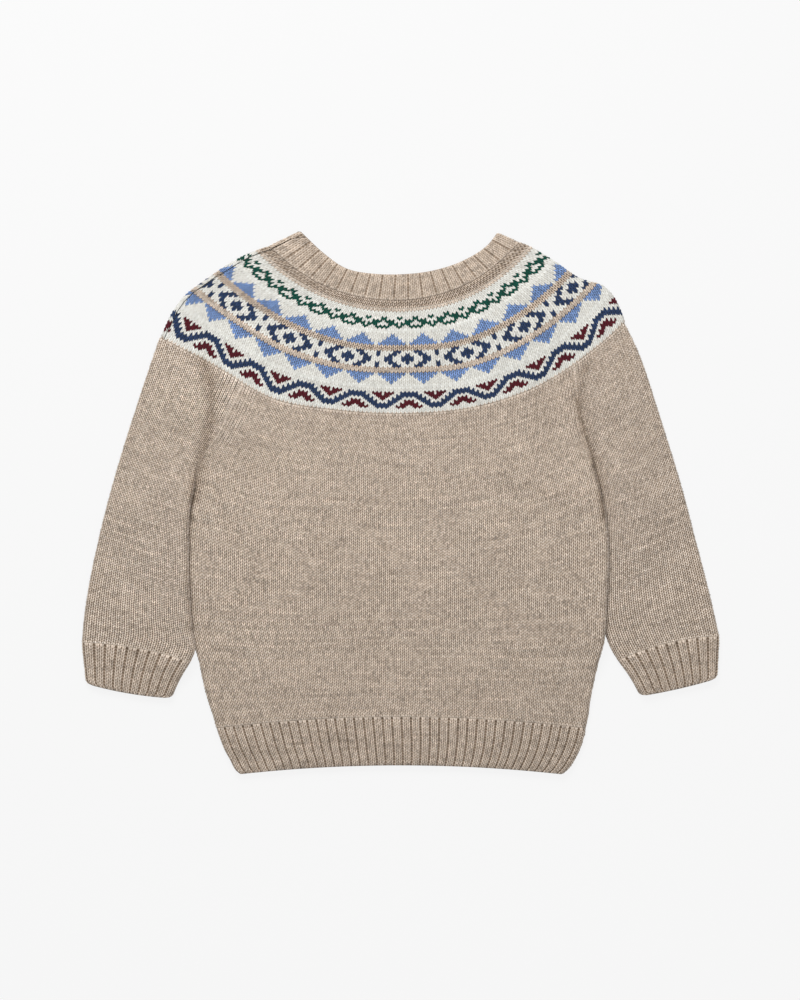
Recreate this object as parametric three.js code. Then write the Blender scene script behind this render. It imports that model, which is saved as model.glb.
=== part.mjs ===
import * as THREE from 'three';

// Fair isle jumper laid flat, front up, in millimetres.
// +X is to the right as seen from the front, +Y towards the neck, +Z up from the surface.
// The back layer rests on z = 0 and the front layer lies on it.

// Cloth
const wall = 2.1;              // plain knit, thickness
const air = 0.9;               // between the back layer and the front layer
const stack = 2 * wall + air;  // two layers lying on each other
const raglanGap = 0.6;         // between a sleeve and the body along the raglan
const foldReach = 2.6;         // how far a folded side rounds out in plan
const seamGap = 0.4;           // between pieces at a seam
const yokeGap = 0.65;          // between the yoke's edge and the body, to allow for its facets
const bandGap = 0.55;          // between the yoke and the neckband, for the same reason
const cuffGap = 0.55;          // between a sleeve and its cuff
const bandDepth = 18.5;        // neckband, from the yoke to the neck edge
const cuffPinch = 1.2;         // how far a cuff's inner edge draws in
const sideGap = 0.35;          // between the front and back edges at a side seam
const ribRise = 0.9;           // rib crest above its valley
const rimRound = 0.7;          // how much a welt thins at its free edge
const rimShare = 0.08;         // over this share of its depth
const underRib = 0.5;          // depth of a rib's valley where it lies on the surface

// Soft forms in the upper layer
const deepest = 0.6;           // how far a trough may sink into the air between the layers
const creaseFall = 1.6;        // how fast a crease fades across its width
const crown = {
  body: 1.1,                   // lift of the middle of the body
  bodyHalf: 132,               // where it starts, from the middle line
  bodySlope: 46,
  bodyFrom: -188,
  bodyFoot: 26,
  bodyTo: 178,
  bodyHead: 60,
  sleeve: 0.9,                 // lift of the middle of a sleeve
  axisTop: 168,                // the sleeve's middle near the yoke and near the cuff
  axisCuff: 190,
  axisTopY: 90,
  axisRun: 180,
  sleeveHalf: 34,
  sleeveFrom: -128,
  sleeveFoot: 28,
  sleeveTo: 112,
  sleeveHead: 40,
};
const overLift = 5.9;          // rise of a margin that lies on its neighbour
const overReach = 19;          // width of that margin

// Rib counts
const hemRibs = 34;
const cuffRibsFace = 11;
const neckRibsFace = 26;

// Mesh density
const foldSteps = 3;           // facets in a quarter fold
const bodyColumns = 7;         // across half a body panel, past its margin
const bodyRows = 17;
const sleeveRows = 15;
const sleeveColumns = { upper: 6, lower: 4 };
const yokeColumns = { front: 32, back: 24, flap: 2 };
const yokeRows = 7;
const bandFlapColumns = 3;
const marginSteps = 4;         // facets across a margin that can lift
const bodyMargin = 0.12;       // that margin as a share of half the body
const sleeveMargin = 0.26;     // that margin as a share of the sleeve

// Body side edges, x at height y: raglan above the armpit, side seam below it
const armpit = { left: 26, right: 32 };
const armpitRun = 16;          // over which the side seam turns into the raglan
const bodyEdge = [
  { y: -164, left: -132, right: 132.7 },
  { y: -153, left: -135, right: 135 },
  { y: -142, left: -138.6, right: 136.5 },
  { y: -128, left: -142.2, right: 139.3 },
  { y: -113, left: -145.3, right: 142.6 },
  { y: -100, left: -149.5, right: 146 },
  { y: -84, left: -153.5, right: 147 },
  { y: -60, left: -155.3, right: 148.2 },
  { y: -35, left: -155.5, right: 149 },
  { y: -10, left: -152.8, right: 147.2 },
  { y: 10, left: -148.6, right: 143.2 },
  { y: 28, left: -144.6, right: 138.4 },
  { y: 48, left: -131.6, right: 131.6 },
  { y: 70, left: -120.2, right: 127.8 },
  { y: 84, left: -114, right: 125.8 },
  { y: 99, left: -107.5, right: 124 },
];

// Hem rib: its top line and free edge sag towards the side seams
const hem = { topMiddle: -153.8, topSag: 8, free: -188.8, freeSag: 6, halfWidth: 130 };
const hemEdge = [
  { y: -195, left: -116, right: 116.5 },
  { y: -191, left: -119.5, right: 120.8 },
  { y: -185, left: -122.5, right: 124.8 },
  { y: -178, left: -126.4, right: 128.4 },
  { y: -170, left: -129.6, right: 131.2 },
  { y: -161, left: -132.8, right: 133.4 },
];

// Sleeves, from the yoke down to the cuff
const sleeveLeft = {
  outer: [[-173.5, 118.5], [-188.5, 74], [-206.5, 16], [-220.8, -41.5], [-227.6, -81], [-229.3, -100.5]],
  inner: [[-114, 84], [-120.2, 70], [-131.6, 48], [-144.9, 28], [-149.7, 8], [-151.9, -14], [-151.9, -44],
    [-150.8, -67], [-149.2, -90], [-147, -105], [-150.5, -114.5]],
};
const sleeveRight = {
  outer: [[161, 129.5], [167.3, 117], [173, 104], [187.5, 59.5], [201, 16], [212.5, -27],
    [223.5, -70], [229.3, -96]],
  inner: [[124, 99], [125.8, 84], [128, 68], [131.6, 48], [138.6, 28], [144, 9], [145.3, -12], [145, -32],
    [144.8, -52], [144, -74], [146, -91], [151, -105], [156, -113.5]],
};

const headShare = 0.3;         // of the sleeve takes up the yoke's curve
const footShare = 0.2;         // of the sleeve takes up the cuff's bow

// Cuffs: the free edge, from the outer fold to the inner one, and how far each edge bows
const cuffLeft = { outer: [-226.2, -130.5], inner: [-164.5, -141], topBow: 3, freeBow: -3 };
const cuffRight = { outer: [227.6, -125.5], inner: [169.5, -140], topBow: 4, freeBow: -2.5 };

// Yoke: places on three rounds of knitting, one pattern repeat apart, counted from the pattern's axis.
// outer is the round above the body, middle the round through the diamonds, inner the one under the
// neckband, and neck the free edge of the neckband.
const middleRound = 0.49;
const firstSpoke = -4;
const spokes = [
  { outer: [-178, 121], middle: [-146, 164.5], inner: [-93, 182.5], neck: [-71, 194] },
  { outer: [-133.6, 98], middle: [-117.7, 141.5], inner: [-70.2, 164.2], neck: [-55, 179] },
  { outer: [-91.4, 74.2], middle: [-79.6, 118.4], inner: [-46.8, 152.6], neck: [-38.5, 168] },
  { outer: [-43.8, 65.9], middle: [-37.8, 105.5], inner: [-21.2, 146.4], neck: [-17.6, 164.2] },
  { outer: [5, 63.7], middle: [5, 103.3], inner: [5, 145.4], neck: [5, 164.2] },
  { outer: [53.6, 68.4], middle: [47.9, 107.6], inner: [30.6, 150.3], neck: [24.8, 167] },
  { outer: [99.7, 83.9], middle: [88.9, 126.4], inner: [54.4, 160.6], neck: [44.3, 173.5] },
  { outer: [140.8, 111.2], middle: [123.5, 154.4], inner: [75.2, 176.8], neck: [62.5, 185] },
  { outer: [176, 144], middle: [150, 188], inner: [94, 196.5], neck: [75, 203] },
];

// Where the strip ends and folds, in repeats from the axis, on rounds from the body (0) to the neck (1)
const shoulder = [
  { round: 0, seam: -3.87, leftFold: -3.97, rightFold: 3.58 },
  { round: 0.3, seam: -3.52, leftFold: -3.88, rightFold: 3.44 },
  { round: 0.5, seam: -3.42, leftFold: -3.81, rightFold: 3.21 },
  { round: 0.66, seam: -3.5, leftFold: -3.84, rightFold: 3.2 },
  { round: 0.83, seam: -3.66, leftFold: -3.94, rightFold: 3.31 },
  { round: 1, seam: -3.84, leftFold: -4.1, rightFold: 3.54 },
];

// Margins that lie on their neighbour: the left sleeve on the body, the body on the right sleeve
const leftOver = { fullFrom: -5, gone: 24, fullTo: -106, down: -136 };
const rightOver = { fullFrom: -6, gone: 28, fullTo: -94, down: -132 };

// Largest soft creases of the upper layer: a ridge has a positive height, a trough a negative one
const creases = [
  { name: 'left armpit trough', from: [-136, 84], to: [-136.5, 58], height: -1.3, width: 6 },
  { name: 'left armpit ridge', from: [-126, 78], to: [-130, 50], height: 0.7, width: 7 },
  { name: 'right armpit trough', from: [131, 72], to: [135.5, 44], height: -1.3, width: 6 },
  { name: 'right armpit ridge', from: [138.5, 92], to: [141.5, 60], height: 0.8, width: 6 },
  { name: 'left sleeve drag', from: [-152, 88], to: [-168, 34], height: 0.6, width: 12 },
  { name: 'right sleeve drag', from: [156, 92], to: [172, 36], height: 0.6, width: 12 },
  { name: 'left side swell', from: [-112, 30], to: [-118, -90], height: 0.5, width: 20 },
  { name: 'right side swell', from: [110, 24], to: [114, -84], height: 0.5, width: 20 },
  { name: 'left cuff gather', from: [-196, -72], to: [-188, -98], height: 0.6, width: 12 },
  { name: 'right cuff gather', from: [190, -70], to: [184, -92], height: 0.6, width: 12 },
  { name: 'hem pull', from: [-60, -150], to: [-40, -110], height: 0.4, width: 18 },
];

// Small maths
const settlePasses = 8;        // rounds for a place that depends on its own height
const halvings = 30;
const mix = (a, b, t) => a + (b - a) * t;
const clamp01 = (t) => Math.min(1, Math.max(0, t));
const ease = (t) => clamp01(t) ** 2 * (3 - 2 * clamp01(t));
const fractions = (count) => Array.from({ length: count + 1 }, (_, i) => i / count);

// Smooth reading of one column of a table whose rows are sorted by key
function readTable(rows, key, column, at) {
  const last = rows.length - 2;
  let i = 0;
  while (i < last && at > rows[i + 1][key]) {
    i += 1;
  }
  const slope = (j) => {
    const a = rows[Math.max(0, j - 1)];
    const b = rows[Math.min(rows.length - 1, j + 1)];
    return (b[column] - a[column]) / (b[key] - a[key]);
  };
  const span = rows[i + 1][key] - rows[i][key];
  const t = (at - rows[i][key]) / span;
  const t2 = t * t;
  const t3 = t2 * t;
  const start = rows[i][column] * (2 * t3 - 3 * t2 + 1) + rows[i + 1][column] * (3 * t2 - 2 * t3);
  return start + span * (slope(i) * (t3 - 2 * t2 + t) + slope(i + 1) * (t3 - t2));
}

// Smooth plan curve through points, read by its share of length
function curveThrough(points) {
  const curve = new THREE.CatmullRomCurve3(points.map(([x, y]) => new THREE.Vector3(x, y, 0)));
  return (share) => curve.getPointAt(clamp01(share));
}

// Upper layer
function creaseHeight(x, y) {
  let sum = 0;
  for (const crease of creases) {
    const [ax, ay] = crease.from;
    const dx = crease.to[0] - ax;
    const dy = crease.to[1] - ay;
    const along = ((x - ax) * dx + (y - ay) * dy) / (dx * dx + dy * dy);
    const near = clamp01(along);
    const away = Math.hypot(x - ax - dx * near, y - ay - dy * near) / crease.width;
    sum += crease.height * Math.exp(-away * away * creaseFall);
  }
  return sum;
}

function crownHeight(x, y) {
  const across = ease((crown.bodyHalf - Math.abs(x)) / crown.bodySlope);
  const along = ease((y - crown.bodyFrom) / crown.bodyFoot) * ease((crown.bodyTo - y) / crown.bodyHead);
  const axis = mix(crown.axisTop, crown.axisCuff, clamp01((crown.axisTopY - y) / crown.axisRun));
  const sleeveAcross = ease(1 - Math.abs(Math.abs(x) - axis) / crown.sleeveHalf);
  const fromCuff = ease((y - crown.sleeveFrom) / crown.sleeveFoot);
  const fromYoke = ease((crown.sleeveTo - y) / crown.sleeveHead);
  return crown.body * across * along + crown.sleeve * sleeveAcross * fromCuff * fromYoke;
}

const upperTop = (x, y) => stack + Math.max(-deepest, crownHeight(x, y) + creaseHeight(x, y));

function overShare(limits, y) {
  return ease((limits.gone - y) / (limits.gone - limits.fullFrom))
    * ease((y - limits.down) / (limits.fullTo - limits.down));
}

const marginLift = (limits, y, inset) => overLift * overShare(limits, y) * ease(1 - inset / overReach);

// Solid from an outer grid and an inner grid of points with the same number of columns
function solidSheet(name, outer, inner, colour) {
  const positions = [];
  const place = (point) => positions.push(point.x, point.y, point.z) / 3 - 1;
  const outerIds = outer.map((row) => row.map(place));
  const innerIds = inner.map((row) => row.map(place));
  const faces = [];
  const skin = (ids, flip) => {
    for (let r = 0; r + 1 < ids.length; r += 1) {
      for (let c = 0; c + 1 < ids[r].length; c += 1) {
        const quad = [ids[r][c], ids[r][c + 1], ids[r + 1][c + 1], ids[r + 1][c]];
        const [a, b, d, e] = flip ? [...quad].reverse() : quad;
        faces.push(a, b, d, a, d, e);
      }
    }
  };
  const rim = (a, b) => {
    let i = 0;
    let j = 0;
    while (i + 1 < a.length || j + 1 < b.length) {
      const stepA = j + 1 >= b.length || (i + 1 < a.length && (i + 1) / a.length <= (j + 1) / b.length);
      if (stepA) {
        faces.push(a[i], b[j], a[i + 1]);
        i += 1;
      } else {
        faces.push(a[i], b[j], b[j + 1]);
        j += 1;
      }
    }
  };
  skin(outerIds, false);
  skin(innerIds, true);
  const firstColumn = (ids) => ids.map((row) => row[0]);
  const lastColumn = (ids) => ids.map((row) => row[row.length - 1]);
  rim(outerIds[0], innerIds[0]);
  rim([...outerIds[outerIds.length - 1]].reverse(), [...innerIds[innerIds.length - 1]].reverse());
  rim(lastColumn(outerIds), lastColumn(innerIds));
  rim(firstColumn(outerIds).reverse(), firstColumn(innerIds).reverse());
  return outwardMesh(name, positions, faces, colour);
}

function outwardMesh(name, positions, faces, colour) {
  const corner = (id) => new THREE.Vector3().fromArray(positions, id * 3);
  let volume = 0;
  for (let i = 0; i < faces.length; i += 3) {
    volume += corner(faces[i]).dot(corner(faces[i + 1]).cross(corner(faces[i + 2])));
  }
  const index = volume < 0 ? [...faces].reverse() : faces;
  const geometry = new THREE.BufferGeometry();
  geometry.setAttribute('position', new THREE.Float32BufferAttribute(positions, 3));
  geometry.setIndex(index);
  geometry.computeVertexNormals();
  const mesh = new THREE.Mesh(geometry, new THREE.MeshStandardMaterial({ color: colour, roughness: 0.95 }));
  mesh.name = name;
  return mesh;
}

// Rows of a cuff or the neckband from its seam to its free edge, with the share of the rib's height
const bandRows = [
  { share: 0, relief: 1 },
  { share: 0.5, relief: 1 },
  { share: 1 - rimShare, relief: 1 },
  { share: 1, relief: 0.3 },
];
const plainRows = [0, 0.5, 1];

// Rib relief: three columns a rib, valley then two crests
const ribHeight = (column) => (column % 3 === 0 ? 0 : ribRise);
const ribStations = (ribs) => fractions(ribs * 3);

// One side of a panel at a side seam: column i counts in from the edge.
// closed 1 rounds the edge down to the seam, closed 0 leaves it flat against its neighbour.
function edgePoint(i, closed, top, depth, seamZ) {
  const share = i / foldSteps;
  const angle = (share * Math.PI) / 2;
  const reach = foldReach - depth;
  const round = { inset: depth + reach * (1 - Math.cos(angle)), z: mix(seamZ, top, Math.sin(angle)) };
  return { inset: mix(foldReach * share, round.inset, closed), z: mix(top, round.z, closed) };
}

// Rounds of the yoke, read by repeat and running on straight past the table's ends
function yokeRound(column) {
  const points = spokes.map((spoke) => new THREE.Vector3(spoke[column][0], spoke[column][1], 0));
  const curve = new THREE.CatmullRomCurve3(points, false, 'catmullrom', 0.5);
  const last = spokes.length - 1;
  return (repeat) => {
    const share = (repeat - firstSpoke) / last;
    const inside = clamp01(share);
    const past = new THREE.Vector3().subVectors(points[last], points[last - 1]);
    if (share < 0) {
      past.subVectors(points[1], points[0]);
    }
    return curve.getPoint(inside).addScaledVector(past, (share - inside) * last);
  };
}

const outerRound = yokeRound('outer');
const middleRoundCurve = yokeRound('middle');
const innerRound = yokeRound('inner');
const neckRound = yokeRound('neck');

// The repeat at which the yoke's lower edge has this x
function repeatAt(x) {
  let low = firstSpoke;
  let high = -firstSpoke;
  for (let i = 0; i < halvings; i += 1) {
    const half = (low + high) / 2;
    if (outerRound(half).x < x) {
      low = half;
    } else {
      high = half;
    }
  }
  return low;
}

const yokeEdgeY = (x) => outerRound(repeatAt(x)).y - yokeGap;

const hemTopY = (x) => hem.topMiddle - hem.topSag * (x / hem.halfWidth) ** 2;
const hemFreeY = (x) => hem.free - hem.freeSag * (x / 112) ** 2;

function sideX(y, side) {
  const edge = readTable(bodyEdge, 'y', side, y);
  const above = ease((y - armpit[side]) / armpitRun + 1);
  return edge + (side === 'left' ? 1 : -1) * raglanGap * above;
}

// 1 where a side is closed by its seam, 0 along the raglan
const closedAt = (y, side) => 1 - ease((y - armpit[side]) / armpitRun + 0.5);
const bodyLift = (x, y) => marginLift(rightOver, y, sideX(y, 'right') - x);

// Place in a body panel: u from the left edge to the right, v from the hem to the yoke
function panelPlace(u, v) {
  let x = 0;
  let y = 0;
  for (let pass = 0; pass < settlePasses; pass += 1) {
    y = mix(hemTopY(x) + seamGap / 2, yokeEdgeY(x), v);
    x = mix(sideX(y, 'left') + foldReach, sideX(y, 'right') - foldReach, u);
  }
  return { x, y };
}

function panelPoint({ u, edgeSteps }, v, depth, layer) {
  const place = panelPlace(u, v);
  const side = u < 0.5 ? 'left' : 'right';
  const outward = u < 0.5 ? -1 : 1;
  const closed = closedAt(place.y, side);
  const flat = layerZ(layer, depth, place.x, place.y);
  let x = place.x;
  let z = flat;
  if (edgeSteps < foldSteps) {
    const edge = edgePoint(edgeSteps, closed, flat, depth, seamHeight(layer));
    x = sideX(place.y, side) - outward * edge.inset;
    z = edge.z;
  }
  return new THREE.Vector3(x, place.y, z + bodyLift(x, place.y));
}

// Height of a piece's edge where the front layer and the back layer are sewn
const seamHeight = (layer) => stack / 2 + (layer === 'upper' ? sideGap / 2 : -sideGap / 2);

function layerZ(layer, depth, x, y) {
  return layer === 'upper' ? upperTop(x, y) - depth : depth;
}

// Shares across a piece: close together in the margin, even beyond it
function marginShares(share, inMargin, beyond) {
  const near = fractions(inMargin).map((t) => t * share);
  const far = fractions(beyond).slice(1).map((t) => mix(share, 1, t));
  return [...near, ...far];
}

// Columns of a panel: the side edges' own columns with the flat ones between them
function withEdges(flatColumns) {
  const left = fractions(foldSteps).slice(0, -1).map((_, i) => ({ u: 0, edgeSteps: i }));
  const right = [...left].reverse().map(({ edgeSteps }) => ({ u: 1, edgeSteps }));
  return [...left, ...flatColumns, ...right];
}

function panelColumns() {
  const half = marginShares(bodyMargin, marginSteps, bodyColumns);
  const shares = [...half.map((t) => t / 2), ...half.slice(0, -1).reverse().map((t) => 1 - t / 2)];
  return withEdges(shares.map((u) => ({ u, edgeSteps: foldSteps })));
}

function bodyPanel(name, layer, colour) {
  const columns = panelColumns();
  const rows = fractions(bodyRows);
  const grid = (depth) => rows.map((v) => columns.map((c) => panelPoint(c, v, depth, layer)));
  return solidSheet(name, grid(0), grid(wall), colour);
}

// Hem rib
const hemSide = (y, side) => readTable(hemEdge, 'y', side, y);

function hemPlace(u, v) {
  let x = 0;
  let y = 0;
  for (let pass = 0; pass < settlePasses; pass += 1) {
    y = mix(hemFreeY(x), hemTopY(x) - seamGap / 2, v);
    x = mix(hemSide(y, 'left') + foldReach, hemSide(y, 'right') - foldReach, u);
  }
  return { x, y };
}

function hemPoint(column, v, depth, layer) {
  const { x, y } = hemPlace(column.u, v);
  const side = column.u < 0.5 ? 'left' : 'right';
  const outward = column.u < 0.5 ? -1 : 1;
  const face = depth === 0;
  const thin = face ? rimRound * ease(1 - v / rimShare) : 0;
  const rise = face ? (column.rise ?? 0) - thin : 0;
  const under = face ? ribRise - rise - thin : depth;
  const z = layer === 'upper' ? upperTop(x, y) - depth + rise : under;
  if (column.edgeSteps === foldSteps) {
    return new THREE.Vector3(x, y, z);
  }
  const edge = edgePoint(column.edgeSteps, 1, z, depth, seamHeight(layer));
  return new THREE.Vector3(hemSide(y, side) - outward * edge.inset, y, edge.z);
}

function hemPiece(name, layer, colour) {
  const flat = ribStations(hemRibs).map((u, i) => ({ u, edgeSteps: foldSteps, rise: ribHeight(i) }));
  const columns = withEdges(flat);
  const grid = (rows, depth) => rows.map((v) => columns.map((c) => hemPoint(c, v, depth, layer)));
  return solidSheet(name, grid([0, rimShare, 1], 0), grid([0, 1], wall), colour);
}

// Sleeve and cuff: a folded piece. A station tells where a column lies round the section:
// upper runs from the inner edge to the outer fold, lower runs back under it.
function tubeStations(upperCount, lowerCount, ribbed) {
  const stations = [];
  const rise = (i) => (ribbed ? ribHeight(i) : 0);
  const shares = (count) => (ribbed ? fractions(count) : marginShares(sleeveMargin, marginSteps, count));
  for (let i = 0; i < foldSteps; i += 1) {
    stations.push({ kind: 'innerUpper', i });
  }
  shares(upperCount).forEach((t, i) => stations.push({ kind: 'upper', t, rise: rise(i) }));
  for (let i = 1; i < 2 * foldSteps; i += 1) {
    stations.push({ kind: 'outerFold', angle: (i / (2 * foldSteps)) * Math.PI });
  }
  shares(lowerCount).reverse().forEach((t, i) => stations.push({ kind: 'lower', t, rise: rise(i) }));
  for (let i = foldSteps - 1; i >= 0; i -= 1) {
    stations.push({ kind: 'innerLower', i });
  }
  return stations;
}

// Point of a folded section between two plan points
function tubePoint(station, section, depth) {
  const { outer, inner, closed, bow, lift, reliefShare } = section;
  const across = new THREE.Vector3().subVectors(outer, inner);
  const width = across.length();
  across.divideScalar(width);
  const relief = depth === 0 ? (station.rise ?? 0) * reliefShare : 0;
  const at = (inset, z) => {
    const share = inset / width;
    const shift = bow(share);
    const x = inner.x + across.x * inset + shift.x;
    const y = inner.y + across.y * inset + shift.y;
    return { x, y, z: z + lift(inset, y) };
  };
  const span = width - 2 * foldReach;
  const plan = (inset) => at(inset, 0);
  const topAt = (inset) => {
    const p = plan(inset);
    return upperTop(p.x, p.y) - depth;
  };
    if (station.kind === 'upper') {
    const inset = foldReach + span * station.t;
    return at(inset, topAt(inset) + relief);
  }
  if (station.kind === 'lower') {
    const inset = foldReach + span * station.t;
    const under = depth === 0 ? section.ribDepth - (station.rise ?? 0) * reliefShare : depth;
    return at(inset, Math.max(0, under));
  }
  if (station.kind === 'outerFold') {
    const reach = foldReach - depth;
    const top = topAt(width - foldReach);
    const middle = (top + depth) / 2;
    const inset = width - foldReach + reach * Math.sin(station.angle);
    return at(inset, middle + (top - middle) * Math.cos(station.angle));
  }
  const upper = station.kind === 'innerUpper';
  const flat = upper ? topAt(foldReach) : depth;
  const edge = edgePoint(station.i, closed, flat, depth, seamHeight(upper ? 'upper' : 'lower'));
  return at(edge.inset, edge.z);
}

function sectionGrid(stations, sections, depth) {
  return sections.map((section) => stations.map((station) => {
    const p = tubePoint(station, section, depth);
    return new THREE.Vector3(p.x, p.y, p.z);
  }));
}

// How far a straight line between two places on the yoke's edge is from that edge
function yokeBow(shape, fade) {
  const from = repeatAt(shape.inner[0][0]);
  const to = repeatAt(shape.outer[0][0]);
  const start = new THREE.Vector3(...shape.inner[0], 0);
  const end = new THREE.Vector3(...shape.outer[0], 0);
  return (share) => {
    const edge = outerRound(mix(from, to, share));
    return edge.sub(start.clone().lerp(end, share)).multiplyScalar(fade);
  };
}

// Bow of a cuff line, sideways from the line between its ends
function evenBow(outer, inner, height) {
  const across = new THREE.Vector3().subVectors(outer, inner).normalize();
  const up = new THREE.Vector3(-across.y, across.x, 0).multiplyScalar(Math.sign(across.x) * height * 4);
  return (share) => up.clone().multiplyScalar(share * (1 - share));
}

function sleeveSections(shape, side, limits) {
  const outerCurve = curveThrough(shape.outer);
  const innerCurve = curveThrough(shape.inner);
  const cuffBow = side === 'left' ? cuffLeft.topBow : cuffRight.topBow;
  return fractions(sleeveRows).map((share) => {
    const outer = outerCurve(share);
    const inner = innerCurve(share);
    const drop = yokeGap * ease(1 - share * sleeveRows);
    outer.y -= drop;
    inner.y -= drop;
    const atYoke = yokeBow(shape, ease(1 - share / headShare));
    const atCuff = evenBow(outer, inner, cuffBow * ease((share - 1) / footShare + 1));
    return {
      outer,
      inner,
      bow: (across) => atYoke(across).add(atCuff(across)),
      closed: closedAt(inner.y, side),
      lift: (inset, y) => (limits ? marginLift(limits, y, inset) : 0),
      reliefShare: 0,
      ribDepth: 0,
    };
  });
}

function sleeve(name, shape, side, limits, colour) {
  const sections = sleeveSections(shape, side, limits);
  const stations = tubeStations(sleeveColumns.upper, sleeveColumns.lower, false);
  const grid = (depth) => sectionGrid(stations, sections, depth);
  return solidSheet(name, grid(0), grid(wall), colour);
}

function cuffSection(share, shape, cuff, limits, reliefShare) {
  const top = { outer: shape.outer[shape.outer.length - 1], inner: shape.inner[shape.inner.length - 1] };
  const between = (edge) => {
    const x = mix(top[edge][0], cuff[edge][0], share);
    const y = mix(top[edge][1] - cuffGap, cuff[edge][1], share);
    return new THREE.Vector3(x, y, 0);
  };
  const outer = between('outer');
  const inner = between('inner');
  const pinch = cuffPinch * Math.sin(share * Math.PI);
  inner.x += Math.sign(inner.x) * pinch;
  return {
    outer,
    inner,
    bow: evenBow(outer, inner, mix(cuff.topBow, cuff.freeBow, share)),
    closed: 1,
    lift: (inset, y) => (limits ? marginLift(limits, y, inset) : 0),
    reliefShare,
    ribDepth: underRib,
  };
}

function cuffPiece(name, shape, cuff, limits, colour) {
  const stations = tubeStations(cuffRibsFace * 3, cuffRibsFace * 3, true);
  const outer = bandRows.map(({ share, relief }) => cuffSection(share, shape, cuff, limits, relief));
  const inner = plainRows.map((share) => cuffSection(share, shape, cuff, limits, 0));
  return solidSheet(name, sectionGrid(stations, outer, 0), sectionGrid(stations, inner, wall), colour);
}

// Yoke and neckband: a strip that starts at the left shoulder opening, crosses the front, folds at the
// right shoulder, crosses the back, folds at the left shoulder and ends at the opening again
function yokeCurve(round) {
  const t = round;
  const m = middleRound;
  const a = ((t - m) * (t - 1)) / m;
  const b = (t * (t - 1)) / (m * (m - 1));
  const c = (t * (t - m)) / (1 - m);
  return (repeat) => new THREE.Vector3()
    .addScaledVector(outerRound(repeat), a)
    .addScaledVector(middleRoundCurve(repeat), b)
    .addScaledVector(innerRound(repeat), c);
}

const bandCurve = (share) => (repeat) => innerRound(repeat).lerp(neckRound(repeat), share);

function stripStations(frontCount, backCount, flapCount, ribbed) {
  const stations = [];
  const rise = (i) => (ribbed ? ribHeight(i) : 0);
  fractions(frontCount).forEach((t, i) => stations.push({ kind: 'front', t, rise: rise(i) }));
  for (let i = 1; i < 2 * foldSteps; i += 1) {
    stations.push({ kind: 'rightFold', angle: (i / (2 * foldSteps)) * Math.PI });
  }
  fractions(backCount).forEach((t, i) => stations.push({ kind: 'back', t, rise: rise(i) }));
  for (let i = 1; i < 2 * foldSteps; i += 1) {
    stations.push({ kind: 'leftFold', angle: (1 - i / (2 * foldSteps)) * Math.PI });
  }
  fractions(flapCount).forEach((t) => stations.push({ kind: 'flap', t, rise: 0 }));
  return stations;
}

// Repeats that cover a length on a curve near one place
function repeatsFor(curve, repeat, length) {
  const step = 0.05;
  return (length * 2 * step) / curve(repeat - step).distanceTo(curve(repeat + step));
}

function stripPoint(station, row, depth) {
  const { curve, ends, relief, ribDepth } = row;
  const rightCentre = ends.rightFold - repeatsFor(curve, ends.rightFold, foldReach);
  const leftCentre = ends.leftFold + repeatsFor(curve, ends.leftFold, foldReach);
  const rise = depth === 0 ? (station.rise ?? 0) * relief : 0;
  const onTop = (repeat) => {
    const p = curve(repeat);
    return p.setZ(upperTop(p.x, p.y) - depth + rise);
  };
  const round = (centre, sign) => {
    const p = curve(centre);
    const tangent = curve(centre + 0.02).sub(curve(centre - 0.02)).normalize();
    const reach = (foldReach - depth) * Math.sin(station.angle);
    const top = upperTop(p.x, p.y) - depth;
    const middle = (top + depth) / 2;
    return p.addScaledVector(tangent, sign * reach).setZ(middle + (top - middle) * Math.cos(station.angle));
  };
  if (station.kind === 'front') {
    return onTop(mix(ends.seam, rightCentre, station.t));
  }
  if (station.kind === 'rightFold') {
    return round(rightCentre, 1);
  }
  if (station.kind === 'leftFold') {
    return round(leftCentre, -1);
  }
  if (station.kind === 'flap') {
    return onTop(mix(leftCentre, ends.seam - repeatsFor(curve, ends.seam, seamGap), station.t));
  }
  const under = depth === 0 ? Math.max(0, ribDepth - rise) : depth;
  return curve(mix(rightCentre, leftCentre, station.t)).setZ(under);
}

function shoulderEnds(round) {
  const read = (column) => readTable(shoulder, 'round', column, round);
  return { seam: read('seam'), leftFold: read('leftFold'), rightFold: read('rightFold') };
}

function yokePiece(colour) {
  const stations = stripStations(yokeColumns.front, yokeColumns.back, yokeColumns.flap, false);
  const rows = fractions(yokeRows).map((round) => {
    const ends = shoulderEnds(round);
    return { curve: yokeCurve(round), ends, relief: 0, ribDepth: 0 };
  });
  const grid = (depth) => rows.map((row) => stations.map((station) => stripPoint(station, row, depth)));
  return solidSheet('yoke', grid(0), grid(wall), colour);
}

function neckbandPiece(colour) {
  const columns = neckRibsFace * 3;
  const stations = stripStations(columns, columns, bandFlapColumns, true);
  const ends = shoulderEnds(1);
  const row = (share, relief) => {
    const across = mix(bandGap / bandDepth, 1, share);
    return { curve: bandCurve(across), ends, relief, ribDepth: underRib };
  };
  const outerRows = bandRows.map(({ share, relief }) => row(share, relief));
  const innerRows = plainRows.map((share) => row(share, 0));
  const grid = (rows, depth) => rows.map((each) => stations.map((column) => stripPoint(column, each, depth)));
  return solidSheet('neckband', grid(outerRows, 0), grid(innerRows, wall), colour);
}

// The jumper
const oatmeal = 0xb8a794;
const ribOatmeal = 0xae9d8a;
const cream = 0xe4e4dc;

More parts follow.
